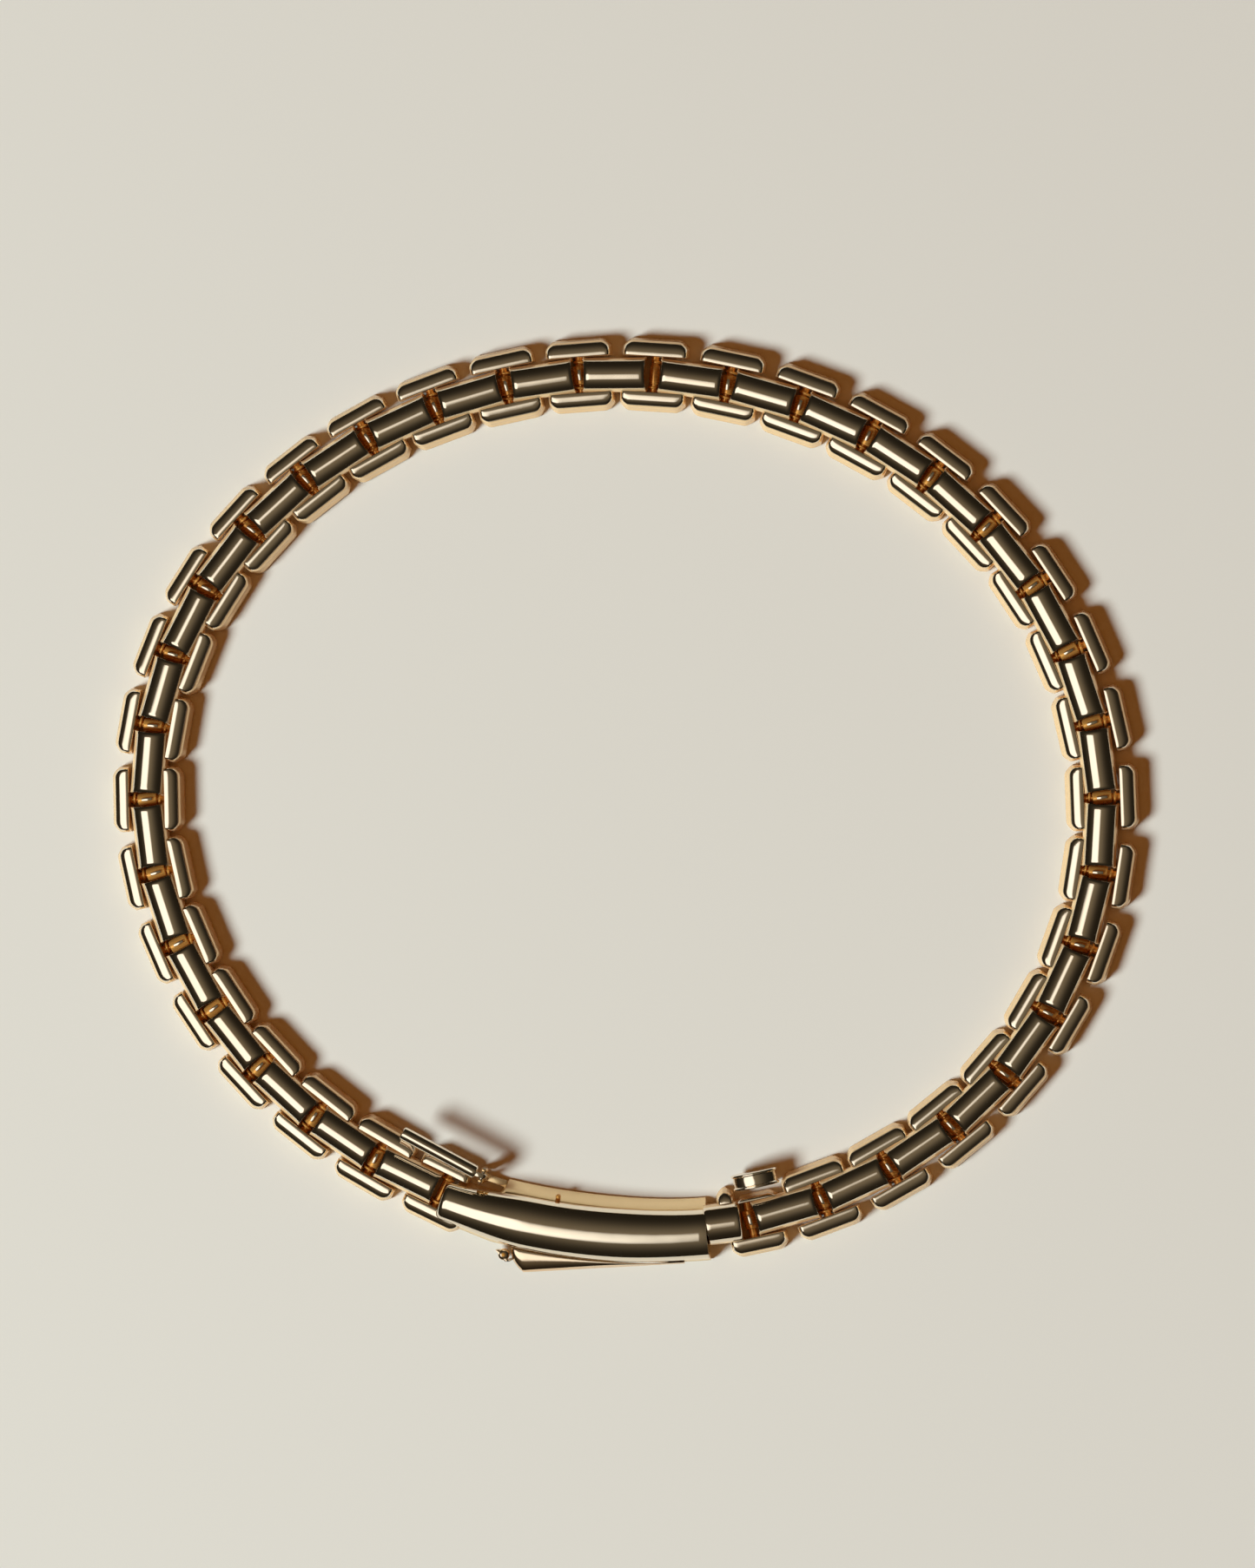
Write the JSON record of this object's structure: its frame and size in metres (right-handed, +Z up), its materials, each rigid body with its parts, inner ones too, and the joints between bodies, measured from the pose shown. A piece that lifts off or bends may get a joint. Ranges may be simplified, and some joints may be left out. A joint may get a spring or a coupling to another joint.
{
  "type": "chain necklace",
  "caption": "Three-row brick-link collar necklace closed in an oval by a curved box clasp with sliding tongue, thumb button, fold-over safety bar and side lock lever.",
  "frame": {"origin": "middle of the outline, on the plane that the necklace lies on", "axes": "+X along the longer way across the ring, +Y from the clasp towards the far side of the ring, +Z up, out of the face of the links"},
  "size_m": [0.1454, 0.132, 0.0056],
  "materials": {
    "polished_gold": "high polish yellow gold plate",
    "pin_gold": "drawn wire, lightly polished",
    "spring_gold": "rolled spring strip, satin",
    "inner_gold": "satin, unpolished inside"
  },
  "bodies": {
    "clasp_box": {"clasp_base": "polished_gold", "clasp_cover": "polished_gold", "clasp_brick_inner": "polished_gold", "clasp_brick_outer": "polished_gold", "clasp_hinge_pin": "pin_gold", "safety_bar_pin": "pin_gold", "safety_stud": "pin_gold", "lock_lever_pin": "pin_gold", "catch_block": "inner_gold"},
    "tongue": {"tongue_head": "polished_gold", "tongue_blade": "spring_gold", "head_brick_inner": "polished_gold", "head_brick_outer": "polished_gold", "head_hinge_pin": "pin_gold"},
    "release_button": {"release_button": "polished_gold"},
    "latch_leaf": {"latch_leaf": "spring_gold"},
    "safety_bar": {"safety_bar": "polished_gold"},
    "lock_lever": {"lock_lever": "polished_gold"},
    "link_01": {"link_01": "polished_gold"},
    "link_02": {"link_02": "polished_gold"},
    "link_03": {"link_03": "polished_gold"},
    "link_04": {"link_04": "polished_gold"},
    "link_05": {"link_05": "polished_gold"},
    "link_06": {"link_06": "polished_gold"},
    "link_07": {"link_07": "polished_gold"},
    "link_08": {"link_08": "polished_gold"},
    "link_09": {"link_09": "polished_gold"},
    "link_10": {"link_10": "polished_gold"},
    "link_11": {"link_11": "polished_gold"},
    "link_12": {"link_12": "polished_gold"},
    "link_13": {"link_13": "polished_gold"},
    "link_14": {"link_14": "polished_gold"},
    "link_15": {"link_15": "polished_gold"},
    "link_16": {"link_16": "polished_gold"},
    "link_17": {"link_17": "polished_gold"},
    "link_34": {"link_34": "polished_gold"},
    "link_33": {"link_33": "polished_gold"},
    "link_32": {"link_32": "polished_gold"},
    "link_31": {"link_31": "polished_gold"},
    "link_30": {"link_30": "polished_gold"},
    "link_29": {"link_29": "polished_gold"},
    "link_28": {"link_28": "polished_gold"},
    "link_27": {"link_27": "polished_gold"},
    "link_26": {"link_26": "polished_gold"},
    "link_25": {"link_25": "polished_gold"},
    "link_24": {"link_24": "polished_gold"},
    "link_23": {"link_23": "polished_gold"},
    "link_22": {"link_22": "polished_gold"},
    "link_21": {"link_21": "polished_gold"},
    "link_20": {"link_20": "polished_gold"},
    "link_19": {"link_19": "polished_gold"},
    "link_18": {"link_18": "polished_gold"}
  },
  "joints": [
    {"name": "tongue_slide", "type": "slide", "parent": "clasp_box", "child": "tongue", "axis": [0.99, 0.1409, 0], "range_m": [0, 0.013]},
    {"name": "button_press", "type": "slide", "parent": "tongue", "child": "release_button", "axis": [0.2129, -0.9771, 0], "range_m": [0, 0.0006], "stiffness_N_per_m": 150, "springref_m": -0.0006},
    {"name": "latch_flex", "type": "hinge", "parent": "tongue", "child": "latch_leaf", "pos_m": [0.01216, -0.05885, 0.00235], "axis": [0, 0, 1], "range_deg": [0, 3.7]},
    {"name": "safety_bar_fold", "type": "hinge", "parent": "clasp_box", "child": "safety_bar", "pos_m": [-0.01956, -0.05208, 0.0042], "axis": [0.3371, 0.9415, 0], "range_deg": [0, 180]},
    {"name": "lock_lever_swing", "type": "hinge", "parent": "clasp_box", "child": "lock_lever", "pos_m": [-0.01677, -0.06345, 0.00165], "axis": [0, 0, -1], "range_deg": [0, 60]},
    {"name": "link_01_hinge", "type": "hinge", "parent": "tongue", "child": "link_01", "pos_m": [0.01812, -0.0582, 0.00155], "axis": [0.2129, -0.9771, 0], "range_deg": [-12, 12]},
    {"name": "link_02_hinge", "type": "hinge", "parent": "link_01", "child": "link_02", "pos_m": [0.02819, -0.05522, 0.00155], "axis": [0.3569, -0.9342, 0], "range_deg": [-12, 12]},
    {"name": "link_03_hinge", "type": "hinge", "parent": "link_02", "child": "link_03", "pos_m": [0.03768, -0.05073, 0.00155], "axis": [0.4995, -0.8663, 0], "range_deg": [-12, 12]},
    {"name": "link_04_hinge", "type": "hinge", "parent": "link_03", "child": "link_04", "pos_m": [0.04632, -0.04477, 0.00155], "axis": [0.636, -0.7717, 0], "range_deg": [-12, 12]},
    {"name": "link_05_hinge", "type": "hinge", "parent": "link_04", "child": "link_05", "pos_m": [0.05383, -0.03742, 0.00155], "axis": [0.7603, -0.6496, 0], "range_deg": [-12, 12]},
    {"name": "link_06_hinge", "type": "hinge", "parent": "link_05", "child": "link_06", "pos_m": [0.05991, -0.02887, 0.00155], "axis": [0.8651, -0.5016, 0], "range_deg": [-12, 12]},
    {"name": "link_07_hinge", "type": "hinge", "parent": "link_06", "child": "link_07", "pos_m": [0.06432, -0.01934, 0.00155], "axis": [0.9433, -0.332, 0], "range_deg": [-12, 12]},
    {"name": "link_08_hinge", "type": "hinge", "parent": "link_07", "child": "link_08", "pos_m": [0.06685, -0.00915, 0.00155], "axis": [0.9889, -0.1483, 0], "range_deg": [-12, 12]},
    {"name": "link_09_hinge", "type": "hinge", "parent": "link_08", "child": "link_09", "pos_m": [0.06742, 0.00134, 0.00155], "axis": [0.9992, 0.0402, 0], "range_deg": [-12, 12]},
    {"name": "link_10_hinge", "type": "hinge", "parent": "link_09", "child": "link_10", "pos_m": [0.06601, 0.01174, 0.00155], "axis": [0.9745, 0.2245, 0], "range_deg": [-12, 12]},
    {"name": "link_11_hinge", "type": "hinge", "parent": "link_10", "child": "link_11", "pos_m": [0.06272, 0.02172, 0.00155], "axis": [0.918, 0.3966, 0], "range_deg": [-12, 12]},
    {"name": "link_12_hinge", "type": "hinge", "parent": "link_11", "child": "link_12", "pos_m": [0.05772, 0.03095, 0.00155], "axis": [0.8347, 0.5506, 0], "range_deg": [-12, 12]},
    {"name": "link_13_hinge", "type": "hinge", "parent": "link_12", "child": "link_13", "pos_m": [0.0512, 0.03918, 0.00155], "axis": [0.7305, 0.6829, 0], "range_deg": [-12, 12]},
    {"name": "link_14_hinge", "type": "hinge", "parent": "link_13", "child": "link_14", "pos_m": [0.04342, 0.04623, 0.00155], "axis": [0.611, 0.7916, 0], "range_deg": [-12, 12]},
    {"name": "link_15_hinge", "type": "hinge", "parent": "link_14", "child": "link_15", "pos_m": [0.03463, 0.05197, 0.00155], "axis": [0.4814, 0.8765, 0], "range_deg": [-12, 12]},
    {"name": "link_16_hinge", "type": "hinge", "parent": "link_15", "child": "link_16", "pos_m": [0.02507, 0.05631, 0.00155], "axis": [0.3458, 0.9383, 0], "range_deg": [-12, 12]},
    {"name": "link_17_hinge", "type": "hinge", "parent": "link_16", "child": "link_17", "pos_m": [0.01498, 0.05921, 0.00155], "axis": [0.2072, 0.9783, 0], "range_deg": [-12, 12]},
    {"name": "link_34_hinge", "type": "hinge", "parent": "clasp_box", "child": "link_34", "pos_m": [-0.02547, -0.05447, 0.00155], "axis": [-0.4322, -0.9018, 0], "range_deg": [-7, 12]},
    {"name": "link_33_hinge", "type": "hinge", "parent": "link_34", "child": "link_33", "pos_m": [-0.03493, -0.04993, 0.00155], "axis": [-0.4953, -0.8687, 0], "range_deg": [-12, 12]},
    {"name": "link_32_hinge", "type": "hinge", "parent": "link_33", "child": "link_32", "pos_m": [-0.04366, -0.04409, 0.00155], "axis": [-0.6165, -0.7874, 0], "range_deg": [-12, 12]},
    {"name": "link_31_hinge", "type": "hinge", "parent": "link_32", "child": "link_31", "pos_m": [-0.05142, -0.03702, 0.00155], "axis": [-0.7305, -0.6829, 0], "range_deg": [-12, 12]},
    {"name": "link_30_hinge", "type": "hinge", "parent": "link_31", "child": "link_30", "pos_m": [-0.05796, -0.0288, 0.00155], "axis": [-0.8334, -0.5527, 0], "range_deg": [-12, 12]},
    {"name": "link_29_hinge", "type": "hinge", "parent": "link_30", "child": "link_29", "pos_m": [-0.06299, -0.01958, 0.00155], "axis": [-0.9183, -0.396, 0], "range_deg": [-12, 12]},
    {"name": "link_28_hinge", "type": "hinge", "parent": "link_29", "child": "link_28", "pos_m": [-0.06624, -0.0096, 0.00155], "axis": [-0.9765, -0.2154, 0], "range_deg": [-12, 12]},
    {"name": "link_27_hinge", "type": "hinge", "parent": "link_28", "child": "link_27", "pos_m": [-0.06749, 0.00083, 0.00155], "axis": [-0.9998, -0.019, 0], "range_deg": [-12, 12]},
    {"name": "link_26_hinge", "type": "hinge", "parent": "link_27", "child": "link_26", "pos_m": [-0.06663, 0.01129, 0.00155], "axis": [-0.9836, 0.1805, 0], "range_deg": [-12, 12]},
    {"name": "link_25_hinge", "type": "hinge", "parent": "link_26", "child": "link_25", "pos_m": [-0.06372, 0.02138, 0.00155], "axis": [-0.9292, 0.3695, 0], "range_deg": [-12, 12]},
    {"name": "link_24_hinge", "type": "hinge", "parent": "link_25", "child": "link_24", "pos_m": [-0.05891, 0.03072, 0.00155], "axis": [-0.8436, 0.537, 0], "range_deg": [-12, 12]},
    {"name": "link_23_hinge", "type": "hinge", "parent": "link_24", "child": "link_23", "pos_m": [-0.05249, 0.03902, 0.00155], "axis": [-0.7355, 0.6776, 0], "range_deg": [-12, 12]},
    {"name": "link_22_hinge", "type": "hinge", "parent": "link_23", "child": "link_22", "pos_m": [-0.04474, 0.0461, 0.00155], "axis": [-0.6132, 0.7899, 0], "range_deg": [-12, 12]},
    {"name": "link_21_hinge", "type": "hinge", "parent": "link_22", "child": "link_21", "pos_m": [-0.03595, 0.05186, 0.00155], "axis": [-0.4828, 0.8757, 0], "range_deg": [-12, 12]},
    {"name": "link_20_hinge", "type": "hinge", "parent": "link_21", "child": "link_20", "pos_m": [-0.0264, 0.05621, 0.00155], "axis": [-0.348, 0.9375, 0], "range_deg": [-12, 12]},
    {"name": "link_19_hinge", "type": "hinge", "parent": "link_20", "child": "link_19", "pos_m": [-0.01632, 0.05914, 0.00155], "axis": [-0.2107, 0.9775, 0], "range_deg": [-12, 12]},
    {"name": "link_18_hinge", "type": "hinge", "parent": "link_19", "child": "link_18", "pos_m": [-0.00592, 0.06063, 0.00155], "axis": [-0.072, 0.9974, 0], "range_deg": [-12, 12]}
  ],
  "couplings": [
    {"joint": "latch_flex", "follows": "button_press", "rad_per_m": 105}
  ]
}
